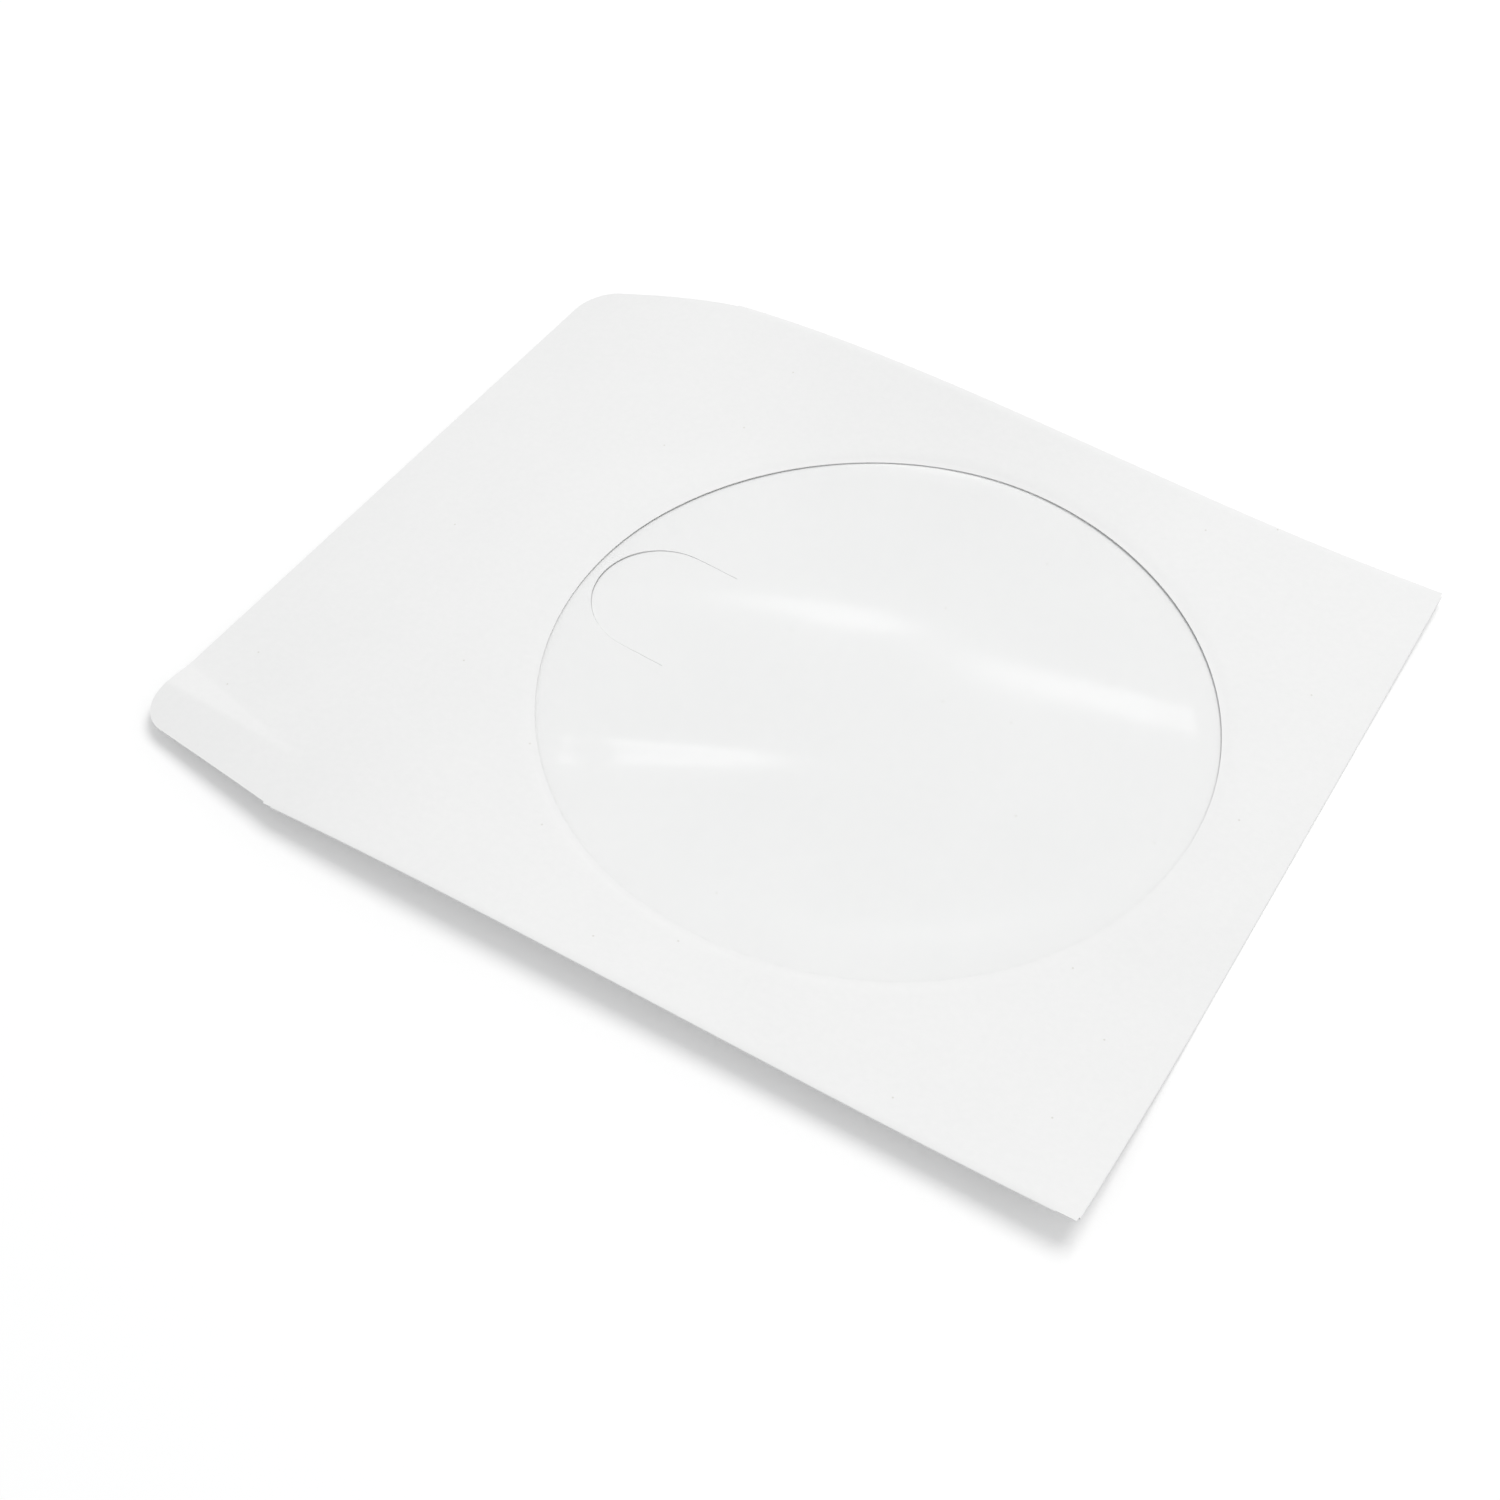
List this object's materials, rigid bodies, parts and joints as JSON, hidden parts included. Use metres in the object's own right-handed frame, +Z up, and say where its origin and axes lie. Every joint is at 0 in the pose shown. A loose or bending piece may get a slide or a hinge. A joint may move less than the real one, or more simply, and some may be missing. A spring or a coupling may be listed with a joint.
{
  "type": "cd sleeve",
  "caption": "Square paper sleeve for a compact disc, with a round clear film window, an open flap and a cut tongue that holds it.",
  "frame": {"origin": "on the flat underside of the back panel, straight below the middle of the round window", "axes": "+X from the flap towards the closed end, +Y along the mouth, +Z up off the surface that the sleeve lies on"},
  "size_m": [0.1525, 0.125, 0.0069],
  "materials": {
    "white_paper": "matte",
    "clear_film": "gloss"
  },
  "bodies": {
    "root": {"paper_sleeve": "white_paper", "window_film": "clear_film"}
  },
  "joints": []
}
